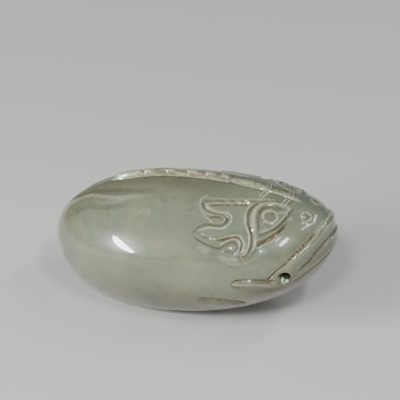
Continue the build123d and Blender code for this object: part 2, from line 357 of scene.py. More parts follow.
cheek_cut = on_skin([(27.9, 7.2, 5.9), (27.3, 8.5, 5.4), (26.2, 10.3, 4.7), (24.9, 11.6, 4.25),
                     (23.8, 12.4, 3.95), (22.6, 13.4, 3.4)])
cheek_rim = on_skin([(27.0, 9.9, 4.6), (25.5, 11.7, 3.8), (23.7, 12.8, 3.45), (22.7, 13.7, 3.05)])
eye_brow = on_skin([(22.8, 10.5, 6.0), (22.2, 9.1, 7.1), (22.1, 7.4, 8.1), (22.5, 6.0, 8.6),
                    (23.8, 4.8, 8.6), (25.6, 4.4, 8.1), (26.9, 4.5, 7.5)])
eye_frame = on_skin([(22.2, 13.6, 3.1), (22.4, 13.1, 3.8), (22.1, 12.5, 4.6), (21.8, 11.2, 5.8),
                     (21.4, 9.6, 7.1), (21.1, 7.7, 8.3), (21.4, 6.0, 9.0), (22.5, 4.7, 9.1),
                     (24.2, 3.6, 8.9), (25.7, 3.2, 8.4), (27.0, 3.3, 7.8), (27.75, 3.7, 7.35)])
brow_edge = on_skin([(20.9, 4.1, 9.95), (21.8, 3.7, 9.7), (22.9, 3.1, 9.5), (24.4, 2.8, 9.0)])
brow_groove = on_skin([(21.6, 4.6, 9.45), (22.6, 3.9, 9.35), (24.3, 3.1, 8.95), (26.0, 2.7, 8.4),
                       (27.6, 2.8, 7.7)])
low_corner = on_skin([(23.3, 10.5, 5.8), (24.2, 10.0, 5.8)])
high_corner = on_skin([(26.1, 5.5, 7.5), (26.8, 5.0, 7.3)])

# The mouth and the chin.
upper_lip = on_skin([(34.5, 0.0, 3.4), (34.35, 1.2, 3.35), (33.9, 4.0, 2.9), (33.1, 6.0, 2.5),
                     (32.3, 7.7, 2.1), (31.6, 8.9, 1.5), (30.3, 11.0, 0.5), (29.5, 11.7, -0.2),
                     (28.0, 12.6, -1.4), (26.1, 13.5, -2.6), (24.7, 13.9, -3.9),
                     (24.2, 13.9, -4.6)])
lip_edge = on_skin([(35.2, 0.0, 2.4), (34.9, 1.8, 2.4), (34.4, 4.0, 2.0), (33.7, 6.2, 1.5),
                    (32.9, 8.1, 0.85), (31.9, 9.5, 0.1), (30.9, 10.6, -0.4), (29.7, 11.5, -1.2),
                    (28.7, 12.2, -1.9), (27.4, 12.9, -2.8)])
mouth_cleft = on_skin([(35.8, 0.0, 0.4), (35.6, 2.5, 0.1), (35.0, 4.6, -0.2), (34.2, 6.2, -0.7),
                       (33.5, 7.5, -1.3), (32.3, 8.8, -2.5), (31.2, 9.8, -3.2), (29.6, 10.7, -4.2)])
cleft_rim = on_skin([(35.8, 0.0, -0.1), (35.6, 2.3, -0.3), (35.0, 4.4, -0.6), (34.2, 6.1, -1.1),
                     (33.4, 7.4, -1.7), (32.2, 8.7, -2.9), (31.0, 9.7, -3.7), (29.6, 10.5, -4.7)])
chin_rim = on_skin([(35.4, 0.0, -2.5), (35.2, 2.5, -2.5), (34.2, 5.4, -3.1), (32.7, 7.5, -3.8),
                    (31.4, 8.9, -4.5), (29.9, 9.9, -5.3), (28.3, 10.8, -6.1)])
chin_cut = on_skin([(35.4, 0.0, -3.1), (35.1, 2.5, -3.1), (34.1, 5.2, -3.7), (32.5, 7.3, -4.4),
                    (31.2, 8.6, -5.1), (29.7, 9.6, -5.9), (28.2, 10.5, -6.6)])

# The limb that runs back from the mouth's corner, and the fold under it.
limb_cut = on_skin([(17.5, 16.1, -3.6), (19.2, 15.7, -3.7), (21.0, 15.2, -3.9), (23.2, 14.4, -4.3),
                    (24.5, 13.6, -4.7), (25.8, 12.9, -5.1)])
limb_rim = on_skin([(16.0, 16.0, -4.4), (18.5, 15.7, -4.5), (20.8, 15.0, -4.7), (23.0, 14.1, -5.2),
                    (25.4, 12.7, -5.9), (27.4, 11.4, -6.4)])
limb_foot = on_skin([(16.9, 15.5, -5.6), (19.5, 14.9, -6.1), (21.5, 14.1, -6.6), (23.9, 12.9, -7.1),
                     (26.9, 11.2, -6.9)])
corner_cut = on_skin([(24.4, 14.0, -4.2), (25.2, 13.7, -3.5), (26.1, 13.4, -2.7)])
belly_fold = on_skin([(8.0, 15.2, -8.6), (10.3, 14.9, -9.0), (13.1, 14.2, -9.7),
                      (16.4, 12.9, -10.9), (18.0, 11.6, -12.0)])
limb_end = on_skin([(18.8, 15.9, -3.6), (17.5, 16.1, -3.8), (16.9, 16.1, -4.5), (17.2, 15.8, -5.2),
                    (18.4, 15.4, -5.8)])

# The upper lip is a raised line in front and a groove further back.
lip_front, lip_rear = part(upper_lip, 0.0, 0.30), part(upper_lip, 0.26, 1.0)

# Wide soft modelling first: the cheek's roll, the lips and the folds of the belly.
raise_line(broad_band, 1.0, 0.26, 0.08, 0.25)
raise_line(lid_roll, 0.55, 0.22, 0.2, 0.05)
# The eye's frame and corners, their tops painted pale: part wear, part painted highlight.
raise_line(eye_frame, 0.66, 0.10, 0.05, 0.0, 0.85)
raise_line(low_corner, 0.55, 0.03, 0.0, 0.0, 0.6)
raise_line(high_corner, 0.55, 0.03, 0.0, 0.0, 0.6)
raise_line(lip_edge, 1.3, 0.32, 0.0, 0.25)
raise_line(cleft_rim, 0.7, 0.12, 0.0, 0.2)
raise_line(limb_rim, 0.9, 0.26, 0.2, 0.15)
# The wide grooves get a little painted shade.
for line, width, depth in ((lip_rear, 1.2, 0.20), (mouth_cleft, 0.9, 0.14), (limb_cut, 1.2, 0.14),
                           (limb_foot, 1.4, 0.24), (belly_fold, 1.5, 0.50),
                           (panel_foot, 0.9, 0.24)):
    cut(line, width, depth, 0.2, 0.2, tone=0.25)

# Then the fine grooves, each darkened with painted shade and holding soil.
for line, width, depth, stain in (
        (top_groove, 0.36, 0.26, 0.30), (under_groove, 0.32, 0.26, 0.75),
        (hook_groove, 0.38, 0.30, 0.22), (lobe_groove, 0.36, 0.28, 0.50),
        (low_edge, 0.36, 0.24, 0.35), (curl_mid, 0.28, 0.20, 0.45), (pit_a, 0.30, 0.24, 0.75),
        (pit_b, 0.34, 0.24, 0.70), (band_groove, 0.42, 0.30, 0.30), (ball_foot, 0.30, 0.16, 0.3),
        (lid_groove, 0.38, 0.30, 0.20), (eye_brow, 0.36, 0.28, 0.30), (cheek_cut, 0.42, 0.40, 0.85),
        (mouth_cleft, 0.38, 0.36, 0.55), (chin_cut, 0.42, 0.26, 0.45), (limb_cut, 0.34, 0.28, 0.75),
        (limb_end, 0.32, 0.22, 0.45), (corner_cut, 0.26, 0.25, 0.7), (brow_groove, 0.28, 0.20, 0.3),
        (belly_fold, 0.45, 0.35, 0.5)):
    cut(line, width, depth, fade_in(line), 0.08, stain)
cut(lip_rear, 0.30, 0.36, 0.10, 0.04, 0.65)

# Last the fine raised lines beside them, their tops painted pale: part wear, part painted
# highlight.
for line, width, rise, tint in (
        (top_edge, 0.36, 0.08, 0.35), (top_ridge, 0.30, 0.20, 1.0), (left_rim, 0.30, 0.16, 0.6),
        (hook_ridge, 0.31, 0.20, 1.0), (hook_foot, 0.24, 0.08, 0.5), (curl_in, 0.28, 0.19, 0.9),
        (curl_out, 0.28, 0.17, 0.9), (band_ridge, 0.31, 0.20, 0.9), (lid_ridge, 0.31, 0.20, 0.9),
        (cheek_rim, 0.32, 0.12, 0.6), (brow_edge, 0.32, 0.18, 1.0), (chin_rim, 0.28, 0.18, 0.8),
        (limb_rim, 0.32, 0.12, 0.6), (cleft_rim, 0.26, 0.14, 0.7), (lip_edge, 0.26, 0.10, 0.6)):
    raise_line(line, width, rise, fade_in(line), FADE, tint)
raise_line(lip_front, 0.34, 0.38, 0.0, 0.25, 1.0)
for aside, start in ((0.40, 0.2), (-0.42, 0.3)):
    rim = part(beside_line(upper_lip, aside), start, 0.95)
    raise_line(rim, 0.24, 0.12, 0.1, 0.1, 0.7)


def from_point(x, y, z):
    """Distance of every point from one on the plain form."""
    return np.linalg.norm(spot - cast(np.array([[x, y, z]], float))[0], axis=1)


def ring(gap, core, inner, outer, rise, sink):
    """Drilled ring: a raised band between two radii, with a sunk core inside."""
    global height, groove, edge
    band = smooth(inner - 0.12, inner + 0.12, gap) * (1 - smooth(outer - 0.12, outer + 0.14, gap))
    inside = 1 - smooth(core - 0.08, inner + 0.02, gap)
    inner_foot = bump(gap - inner + 0.08, 0.24)
    outer_foot = bump(gap - outer - 0.20, 0.26)
    height += rise * band - sink * inside - 0.10 * inner_foot - 0.09 * outer_foot
    # Painted shade in the ring's two feet, and its band painted pale: part wear, part painted
    # highlight.
    groove = np.maximum(groove, np.maximum(inner_foot, 0.6 * outer_foot))
    edge = np.maximum(edge, 0.8 * band)


eye, nostril = from_point(24.35, 7.15, 7.4), from_point(31.1, 3.4, 5.6)
ring(eye, core=0.95, inner=1.18, outer=1.85, rise=0.13, sink=0.05)
ring(nostril, core=0.70, inner=0.82, outer=1.38, rise=0.17, sink=0.14)
# Painted shade on the sunk pupil and in the nostril's core.
groove = np.maximum(groove, 0.35 * (1 - smooth(0.9, 1.15, eye)))
groove = np.maximum(groove, 0.45 * (1 - smooth(0.55, 0.85, nostril)))

# The scroll's round ball, its lobe, and at the end of its band a short groove with soil and painted
# shade.
height += 0.28 * bump(from_point(17.9, 14.5, 3.75), 0.95)
raise_line(on_skin([(12.9, 10.9, 8.2), (13.7, 10.8, 8.15), (14.5, 10.7, 8.05)]), 0.62, 0.22, 0, 0)
cut(on_skin([(18.9, 15.4, 2.1), (19.6, 15.3, 1.9), (20.4, 15.0, 2.1)]), 0.3, 0.2, 0.1, 0.1, 1.0)

# Pairs of fine raised lines cross the forehead, and the panel between them lies a little low. The
# lines' tops are painted pale, part wear and part painted highlight, and the grooves and the panel
# get painted shade.
across, along = np.abs(base[:, 1]), base[:, 0]
beside_crest = smooth(0.55, 0.9, across) * (1 - smooth(2.9, 3.4, across)) * (base[:, 2] > 0)
for start, slant in ((22.3, 0.30), (27.0, 0.24)):
    off = along - start + slant * across
    for step in (-0.34, 0.34):
        line = bump(off - step, 0.27) * beside_crest
        height += 0.17 * line
        edge = np.maximum(edge, line)
    for step in (-0.70, 0.0, 0.70):
        line = bump(off - step, 0.26) * beside_crest
        height -= 0.12 * line
        groove = np.maximum(groove, 0.9 * line)
panel = smooth(22.9, 23.4, along + 0.3 * across) * (1 - smooth(25.9, 26.4, along + 0.25 * across))
panel *= beside_crest
height -= 0.10 * panel
groove = np.maximum(groove, 0.35 * panel)

# Two flutes with a ridge between them sweep from the tail up beside the crest and fade out. The
# flutes get painted shade, and the ridge's top is painted pale as a highlight streak.
upper_flute = on_skin([(-24.5, 0.9, 7.6), (-20.0, 1.5, 10.1), (-15.8, 2.7, 11.3),
                       (-10.8, 4.0, 12.1), (-6.3, 4.8, 12.5), (-1.9, 5.3, 12.6),
                       (1.1, 5.1, 12.7)])
flute_ridge = on_skin([(-26.0, 3.2, 5.6), (-22.6, 3.0, 8.1), (-18.6, 3.5, 10.1), (-15.6, 4.8, 10.6),
                       (-12.4, 5.9, 11.0), (-9.0, 6.5, 11.4), (-5.8, 6.6, 11.7), (-2.6, 6.7, 11.9),
                       (1.0, 6.2, 12.2)])
lower_flute = on_skin([(-26.0, 5.4, 4.9), (-22.0, 5.6, 7.3), (-18.4, 5.9, 9.1), (-15.9, 6.9, 9.4),
                       (-13.4, 7.6, 9.8), (-10.3, 8.0, 10.3), (-7.5, 8.2, 10.6), (-3.3, 7.8, 11.3),
                       (-0.7, 7.6, 11.5)])
cut(upper_flute, 1.2, 0.42, 0.12, 0.35, tone=0.40)
cut(lower_flute, 1.4, 0.34, 0.12, 0.40, tone=0.30)
raise_line(flute_ridge, 0.70, 0.26, 0.08, 0.30, 0.40)

# Scuffs: short pale scratches on the flank; and under the scroll a broad pale patch.
chance = np.random.default_rng(12)
for x0, y0, z0, spread, strokes in ((-3.4, 10.1, 9.7, 1.6, 13), (-10.0, 8.8, 9.8, 1.2, 5),
                                    (-0.8, 8.2, 11.1, 0.9, 4), (11.0, 15.0, 4.2, 1.5, 12)):
    for _ in range(strokes):
        x1, z1 = x0 + spread * chance.normal(), z0 + 0.45 * spread * chance.normal()
        scratch = on_skin([(x1, y0, z1), (x1 + 0.3 + 0.5 * chance.random(), y0, z1 + 0.3)])
        raise_line(scratch, 0.20, 0.015, 0.2, 0.2, 0.25 + 0.45 * chance.random())
rubbed_edge = on_skin([(9.6, 14.6, 4.6), (11.4, 15.2, 3.6), (13.2, 15.6, 2.9)])
raise_line(rubbed_edge, 1.3, 0.05, 0.3, 0.3, 0.30)
# A soft raised band under the scroll, and the panel's foot, with their tops painted pale.
soft_band = on_skin([(14.6, 15.9, 2.6), (16.8, 16.0, 1.7), (19.0, 15.6, 1.5), (21.0, 14.9, 1.8)])
raise_line(soft_band, 0.8, 0.30, 0.3, 0.3, 0.40)
raise_line(panel_foot, 0.5, 0.14, 0.2, 0.2, 0.40)

# ---- the crest: a sloping strip with hooks that lean back, then a split ridge on the forehead ----
CREST_TAIL, CREST_FRONT, RIDGE_FRONT = -14.5, 13.6, 29.8
STRIP_HALF, STRIP_TOP, STRIP_RISE = 1.15, 0.50, 0.62        # half width at foot and top, height
RIDGE_HALF, RIDGE_TOP, RIDGE_RISE = 0.68, 0.38, 0.38
SWELL_AT, SWELL_REACH, SWELL_HALF, SWELL_RISE = 18.0, 5.6, 0.42, 0.34   # the ridge's thick part
NICKS, NICK_REACH = (23.2, 19.3), 0.45
HOOK_TIPS, HOOK_RISE, HOOK_LEAN = (-5.6, -0.4, 4.75, 8.95, 12.4), 0.52, 0.30


def hooks(x):
    """Height of the hooks above the strip, from 0 to 1: steep behind, sloping in front."""
    out = 0.95 * smooth(CREST_TAIL + 0.3, CREST_TAIL + 2.6, x) * (x < HOOK_TIPS[0] - 0.9)
    for tip in HOOK_TIPS:
        up = smooth(tip - 0.35, tip - 0.05, x)
        down = 1 - np.clip((x - tip - 1.2) / 2.1, 0, 1)
        out = np.maximum(out, up * down * (x < tip + 3.4))
    return out


x, y, z = base.T
off_middle = np.clip(np.abs(y), 0, 3)
on_top = (z > 0) & (x > CREST_TAIL) & (x < RIDGE_FRONT)

# The strip narrows to a rounded end at the tail, and its sides slope.
strip = smooth(CREST_TAIL, CREST_TAIL + 1.7, x)
strip = strip * (1 - smooth(CREST_FRONT - 0.2, CREST_FRONT + 0.6, x))
strip_half = STRIP_HALF * np.sqrt(np.clip(1 - (np.minimum(x + 9.5, 0) / 5.1) ** 2, 0.02, 1))
wall = 1 - np.clip((off_middle - STRIP_TOP) / np.maximum(strip_half - STRIP_TOP, 0.15), 0, 1)
hooked = hooks(x) * (1 - smooth(0.34, 0.66, off_middle))
strip_rise = strip * (STRIP_RISE * wall + HOOK_RISE * hooked)

# The ridge has a thick part, two nicks and a split along its top.
swell = bump(x - SWELL_AT, SWELL_REACH)
ridge = smooth(13.2, 14.6, x) * (1 - smooth(RIDGE_FRONT - 2, RIDGE_FRONT, x))
ridge_half = RIDGE_HALF + SWELL_HALF * swell
slope = 1 - np.clip((off_middle - RIDGE_TOP) / (ridge_half - RIDGE_TOP), 0, 1)
nicked = sum(bump(x - nick, NICK_REACH) for nick in NICKS)
split = bump(off_middle, 0.27) * smooth(14.6, 15.6, x) * (1 - smooth(26.0, 27.4, x))
ridge_rise = ridge * slope * (RIDGE_RISE + SWELL_RISE * swell)
ridge_rise = ridge_rise * (1 - 0.4 * nicked) * (1 - 0.75 * split)
crest_rise = np.maximum(strip_rise, ridge_rise) * on_top

# A groove runs along the crest's foot and a seam along its side, both darkened with painted shade,
# as is the split on top; soil lies between the hooks and in the split.
foot = bump(off_middle - np.where(x < CREST_FRONT, strip_half, ridge_half) - 0.16, 0.28) * on_top
foot *= smooth(-15, -13.5, x) * (1 - smooth(26, 28, x))
height -= 0.12 * foot
groove = np.maximum(groove, np.maximum(foot, 0.9 * split * on_top))
seam = bump(off_middle - 0.62, 0.20) * strip * on_top * smooth(-8, -6, x)
groove = np.maximum(groove, 0.6 * seam)
crest_rise -= 0.06 * seam
valley = strip * on_top * (1 - smooth(0.2, 0.9, hooks(x))) * (1 - smooth(0.35, 0.75, off_middle))
valley *= x > HOOK_TIPS[0] - 1.3
soil = np.maximum(soil, np.maximum(0.45 * valley, 0.3 * split * on_top))

# The crest stands in place of whatever was carved there before.
crest_mask = np.clip(crest_rise / 0.3, 0, 1)
height *= 1 - crest_mask
edge *= 1 - crest_mask
carved = base + normal * height[:, None]
carved[:, 2] += crest_rise
carved[:, 0] -= HOOK_LEAN * crest_rise ** 2 * strip * hooked

# ---- the cord hole's worn mouth ----
HOLE_X, HOLE_Z, HOLE_R = 27.3, -4.5, 1.25
FLARE_X, FLARE_Z, FLARE_LONG = 0.75, 0.66, 0.75     # the mouth's long way, and how long
MOUTH_REACH, MOUTH_DEPTH = 2.1, 0.45
aside, above = spot[:, 0] - HOLE_X, spot[:, 2] - HOLE_Z
long_way = aside * FLARE_X + above * FLARE_Z
short_way = above * FLARE_X - aside * FLARE_Z
from_hole = np.hypot(long_way * FLARE_LONG, short_way)
on_flank = np.abs(base[:, 1]) > 4
carved -= normal * (MOUTH_DEPTH * (bump(from_hole, MOUTH_REACH) * on_flank))[:, None]
soil = np.maximum(soil, 0.45 * smooth(3.2, 1.6, from_hole) * on_flank)
soil = np.maximum(soil, 0.9 * smooth(1.7, 1.2, np.hypot(aside, above)) * on_flank)
tan_rim = bump(from_hole - 1.7, 0.9) * smooth(-0.6, 0.8, short_way) * on_flank
edge = np.maximum(edge * smooth(1.2, 1.9, from_hole), 0.55 * tan_rim)
soil = np.maximum(soil, 0.45 * tan_rim)
groove *= smooth(1.2, 1.9, from_hole)

# The flat that it stands on, ground parallel to the table.
row = to_row(carved)
row[:, 2] = np.maximum(row[:, 2], 0.0)

# How dark and brown the stone is made in each place: painted shade low on the belly and flank,
# along the back and at the tail; painted shade and brown soil stain at the jaw; and darker brown at
# the snout's lower front.
level = row[:, 2] / MM              # height above the table
belly = 0.9 * smooth(11.0, 0.5, level + 0.12 * x) * smooth(-34, 4, x)
lower_flank = (0.5 + 0.5 * smooth(-20, 10, x)) * smooth(16.0, 3.0, level)
back = 0.58 * smooth(10.0, 2.0, np.abs(y)) * (z > 0) * smooth(24, 4, x)
tail = 0.50 * smooth(-18, -28, x)
lips = 0.55 * smooth(30.0, 36.0, x - 0.25 * z) * smooth(4, -2, z)
jaw = smooth(12, 27, x) * smooth(-2.5, -8.5, z)
warm = np.max([belly, lower_flank, back, tail, lips, jaw], axis=0)
soil = np.maximum(soil, 0.32 * jaw)

# The crest is painted pale as a highlight on its light-catching sides, and green at its tail.
pale = np.clip(crest_rise / 0.12, 0, 1) * np.where(x < CREST_FRONT, 1.0, 0.75) * (1 - 0.8 * split)
green = crest_mask * smooth(-7.5, -10, x)


# ---- the stone's mesh ----
def add_object(name, data):
    """New object in the scene."""
    thing = bpy.data.objects.new(name, data)
    bpy.context.scene.collection.objects.link(thing)
    return thing


def make_mesh(name, points, faces, outward=False):
    """New smooth mesh object; outward turns all its faces that way."""
    mesh = bpy.data.meshes.new(name)
    mesh.from_pydata([tuple(p) for p in points], [], [tuple(int(i) for i in f) for f in faces])
    if outward:
        shell = bmesh.new()
        shell.from_mesh(mesh)
        bmesh.ops.recalc_face_normals(shell, faces=shell.faces)
        shell.to_mesh(mesh)
        shell.free()
    mesh.update()
    mesh.polygons.foreach_set("use_smooth", [True] * len(mesh.polygons))
    return add_object(name, mesh)


def set_layers(piece, **layers):
    """Gives each point of a piece the numbers that the stone's material reads."""
    for name, values in layers.items():
        layer = piece.data.attributes.new(name, "FLOAT", "POINT")
        values = np.broadcast_to(values, len(piece.data.vertices))
        layer.data.foreach_set("value", np.ascontiguousarray(values, np.float32))


body = make_mesh("jade_body", row, quads)
set_layers(body, soil=soil, groove=groove, warm=warm, pale=pale, green=green, edge=edge)

# The bore is cut right through with a plain drill.
DRILL_SIDES, DRILL_REACH, SHARP_ANGLE = 64, 20.0, 62
turns = np.linspace(0, 2 * math.pi, DRILL_SIDES, endpoint=False)
drill_points = [(HOLE_X + HOLE_R * math.cos(t), reach, HOLE_Z + HOLE_R * math.sin(t))
                for reach in (-DRILL_REACH, DRILL_REACH) for t in turns]
drill_faces = [(i, (i + 1) % DRILL_SIDES, DRILL_SIDES + (i + 1) % DRILL_SIDES, DRILL_SIDES + i)
               for i in range(DRILL_SIDES)]
drill_faces += [range(DRILL_SIDES), range(DRILL_SIDES, 2 * DRILL_SIDES)]
drill = make_mesh("drill", to_row(drill_points), drill_faces, outward=True)
# Inside the bore: soil, a little painted shade and darker brown.
set_layers(drill, soil=0.8, groove=0.2, warm=0.6, pale=0.0, green=0.0, edge=0.0)
cutter = body.modifiers.new("bore", "BOOLEAN")
cutter.operation = "DIFFERENCE"
cutter.solver = "EXACT"
cutter.object = drill
bpy.context.view_layer.update()
bored = bpy.data.meshes.new_from_object(body.evaluated_get(bpy.context.evaluated_depsgraph_get()))
body.modifiers.clear()
body.data = bored
bored.set_sharp_from_angle(angle=math.radians(SHARP_ANGLE))
bpy.data.objects.remove(drill)


# ---- materials ----
def srgb(r, g, b):
    """Linear colour from 0-255 display values."""
    out = []
    for c in (r, g, b):
        c = c / 255
        out.append(c / 12.92 if c <= 0.04045 else ((c + 0.055) / 1.055) ** 2.4)
    return (*out, 1.0)


class Tree:
    """Short calls for one material's nodes. Textures are scaled in millimetres."""

    def __init__(self, name):
        self.material = bpy.data.materials.new(name)
        self.material.use_nodes = True
        self.nodes = self.material.node_tree.nodes
        self.links = self.material.node_tree.links
        place = self.nodes.new("ShaderNodeTexCoord")
        self.mm = self.stretched(place.outputs["Object"], (1000, 1000, 1000))

    def put(self, value, socket):
        """Links a socket to another, or sets it to a plain value."""
        if isinstance(value, bpy.types.NodeSocket):
            self.links.new(value, socket)
        else:
            socket.default_value = value

    def stretched(self, vector, scale):
        node = self.nodes.new("ShaderNodeVectorMath")
        node.operation = "MULTIPLY"
        self.put(vector, node.inputs[0])
        self.put(scale, node.inputs[1])
        return node.outputs[0]

    def math(self, operation, a, b, clamp=False):
        node = self.nodes.new("ShaderNodeMath")
        node.operation = operation
        node.use_clamp = clamp
        self.put(a, node.inputs[0])
        self.put(b, node.inputs[1])
        return node.outputs[0]

    def times(self, a, b, clamp=False):
        return self.math("MULTIPLY", a, b, clamp)

    def plus(self, a, b, clamp=False):
        return self.math("ADD", a, b, clamp)

    def ramp(self, value, a, b, low=0.0, high=1.0):
        """Smooth ramp from low, where the value is a, to high, where it is b."""
        node = self.nodes.new("ShaderNodeMapRange")
        node.interpolation_type = "SMOOTHSTEP"
        for v, name in ((value, "Value"), (a, "From Min"), (b, "From Max"), (low, "To Min"),
                        (high, "To Max")):
            self.put(v, node.inputs[name])
        return node.outputs[0]

    def noise(self, scale, detail=3.0, rough=0.55, warp=0.0, stretch=None):
        node = self.nodes.new("ShaderNodeTexNoise")
        where = self.mm if stretch is None else self.stretched(self.mm, stretch)
        for value, name in ((where, "Vector"), (scale, "Scale"), (detail, "Detail"),
                            (rough, "Roughness"), (warp, "Distortion")):
            self.put(value, node.inputs[name])
        return node.outputs["Fac"]

    def cells(self, scale):
        node = self.nodes.new("ShaderNodeTexVoronoi")
        self.put(self.mm, node.inputs["Vector"])
        self.put(scale, node.inputs["Scale"])
        return node.outputs["Distance"]

    def layer(self, name):
        node = self.nodes.new("ShaderNodeAttribute")
        node.attribute_name = name
        return node.outputs["Fac"]

    def mix(self, share, a, b):
        node = self.nodes.new("ShaderNodeMix")
        node.data_type = "RGBA"
        self.put(share, node.inputs["Factor"])
        self.put(a, node.inputs["A"])
        self.put(b, node.inputs["B"])
        return node.outputs["Result"]

    def bump(self, height, strength, distance):
        node = self.nodes.new("ShaderNodeBump")
        for value, name in ((height, "Height"), (strength, "Strength"), (distance, "Distance")):
            self.put(value, node.inputs[name])
        return node.outputs["Normal"]

    def shade(self, inputs):
        """Sets or links the shader's own inputs, and gives back the material."""
        for name, value in inputs.items():
            self.put(value, self.nodes["Principled BSDF"].inputs[name])
        return self.material


def jade():
    """Grey-green nephrite, darker and browner low down, along the back and at the tail from painted
    shade, browner at the jaw and snout; pale on the crest and carved ridges, part rubbed wear and
    part painted highlight; with soil in its lines and painted shade in its grooves.
    """
    t = Tree("nephrite")
    # The stone itself: clouds of two greens, pale and dark wisps, fine pale grain, and pale specks
    # painted as tiny glints.
    cloud = t.noise(0.075, 4.0, 0.6, 0.6)
    wisps = t.noise(0.32, 5.0, 0.62, 1.4, (0.7, 1.0, 1.5))
    grain = t.noise(1.9, 4.0, 0.6)
    speck = t.noise(5.5, 2.0, 0.5)
    colour = t.mix(t.ramp(cloud, 0.35, 0.68), srgb(122, 132, 112), srgb(140, 144, 119))
    colour = t.mix(t.ramp(wisps, 0.52, 0.76, 0, 0.40), colour, srgb(155, 161, 138))
    colour = t.mix(t.ramp(wisps, 0.44, 0.27, 0, 0.45), colour, srgb(88, 95, 70))
    colour = t.mix(t.ramp(grain, 0.60, 0.72, 0, 0.42), colour, srgb(182, 180, 156))
    colour = t.mix(t.ramp(speck, 0.69, 0.76, 0, 0.40), colour, srgb(190, 190, 164))
    # Painted shade, dark and brownish, low down, along the back and at the tail, and browner at the
    # jaw and snout, in patchy drifts.
    drifts = t.ramp(t.noise(0.18, 3.0, 0.6), 0.22, 0.58, 0.70, 1.0)
    warm = t.times(t.times(t.layer("warm"), drifts), 0.92, clamp=True)
    colour = t.mix(warm, colour, srgb(72, 64, 38))
    # The crest: painted pale as a highlight, with brown streaks and a green end.
    rubbed = t.ramp(t.noise(1.0, 5.0, 0.75, 0.4, (0.5, 1.4, 2.6)), 0.38, 0.60, 0.05, 1.0)
    colour = t.mix(t.times(t.times(t.layer("pale"), rubbed), 0.85), colour, srgb(204, 200, 166))
    streaks = t.ramp(t.noise(1.1, 4.0, 0.7, 0.5, (0.6, 1.5, 2.4)), 0.54, 0.66, 0.0, 0.65)
    colour = t.mix(t.times(t.layer("pale"), streaks), colour, srgb(112, 88, 56))
    green = t.times(t.layer("green"), t.ramp(t.noise(0.8, 2.0), 0.44, 0.54))
    colour = t.mix(t.times(green, 0.9), colour, srgb(146, 190, 122))
    # The carving: pale edges, part rubbed wear and part painted highlight; painted shade in the
    # grooves; soil.
    worn = t.ramp(t.noise(1.7, 3.0, 0.6), 0.28, 0.55, 0.35, 1.0)
    colour = t.mix(t.times(t.times(t.layer("edge"), worn), 0.75), colour, srgb(216, 211, 182))
    colour = t.mix(t.times(t.layer("groove"), 0.60), colour, srgb(74, 74, 50))
    patchy = t.ramp(t.noise(1.5, 4.0, 0.7), 0.38, 0.58, 0.30, 1.0)
    soil = t.times(t.layer("soil"), patchy, clamp=True)
    colour = t.mix(t.times(soil, 0.80), colour, srgb(112, 84, 48))
    polish = t.ramp(t.noise(0.5, 4.0, 0.6), 0.3, 0.7, 0.24, 0.34)
    fine = t.times(t.plus(grain, speck), t.plus(soil, 0.05))
    return t.shade({
        "Base Color": colour, "Roughness": t.plus(polish, t.times(soil, 0.35), clamp=True),
        "Normal": t.bump(fine, 0.5, 0.00012), "IOR": 1.45, "Subsurface Weight": 0.40,
        "Subsurface Radius": (1.0, 0.92, 0.62), "Subsurface Scale": 0.0014, "Coat Weight": 0.90,
        "Coat Roughness": 0.03})


def earth():
    """Brown soil with pale grit."""
    t = Tree("packed_earth")
    clods, grit = t.noise(2.2, 5.0, 0.7), t.cells(1.7)
    colour = t.mix(t.ramp(clods, 0.36, 0.64), srgb(84, 62, 36), srgb(150, 124, 84))
    colour = t.mix(t.ramp(grit, 0.40, 0.24, 0, 0.95), colour, srgb(232, 222, 190))
    return t.shade({"Base Color": colour, "Roughness": t.ramp(clods, 0.3, 0.7, 0.55, 0.95),
                    "Normal": t.bump(t.plus(clods, grit), 0.8, 0.0002)})


def green_grains():
    """Pale green mineral, a little see-through."""
    t = Tree("green_mineral")
    shade = t.ramp(t.noise(1.4, 3.0, 0.6), 0.38, 0.62)
    return t.shade({
        "Base Color": t.mix(shade, srgb(150, 204, 142), srgb(226, 242, 208)),
        "Roughness": t.ramp(t.noise(3.0), 0.3, 0.7, 0.12, 0.4),
        "Normal": t.bump(t.cells(2.4), 0.6, 0.0002), "Subsurface Weight": 0.4,
        "Subsurface Radius": (0.6, 1.0, 0.7), "Subsurface Scale": 0.0008})


def finish_piece(piece, material, node):
    """Gives a piece its material, hangs it on the root body, and hides the CAD part that it stands
    for.
    """
    piece.data.materials.append(material)
    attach(piece, "root")
    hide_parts(node)


finish_piece(body, jade(), "jade_stone")
earth_finish = earth()


# ---- packed earth and mineral grains ----
ROUND = 10                          # points round a roll of earth


def rolled(first, rings):
    """Faces of a closed roll whose rings of points start at number first."""
    faces = [(first + i * ROUND + k, first + i * ROUND + (k + 1) % ROUND,
              first + (i + 1) * ROUND + (k + 1) % ROUND, first + (i + 1) * ROUND + k)
             for i in range(rings - 1) for k in range(ROUND)]
    last = first + (rings - 1) * ROUND
    return faces + [range(first, first + ROUND), range(last, last + ROUND)]


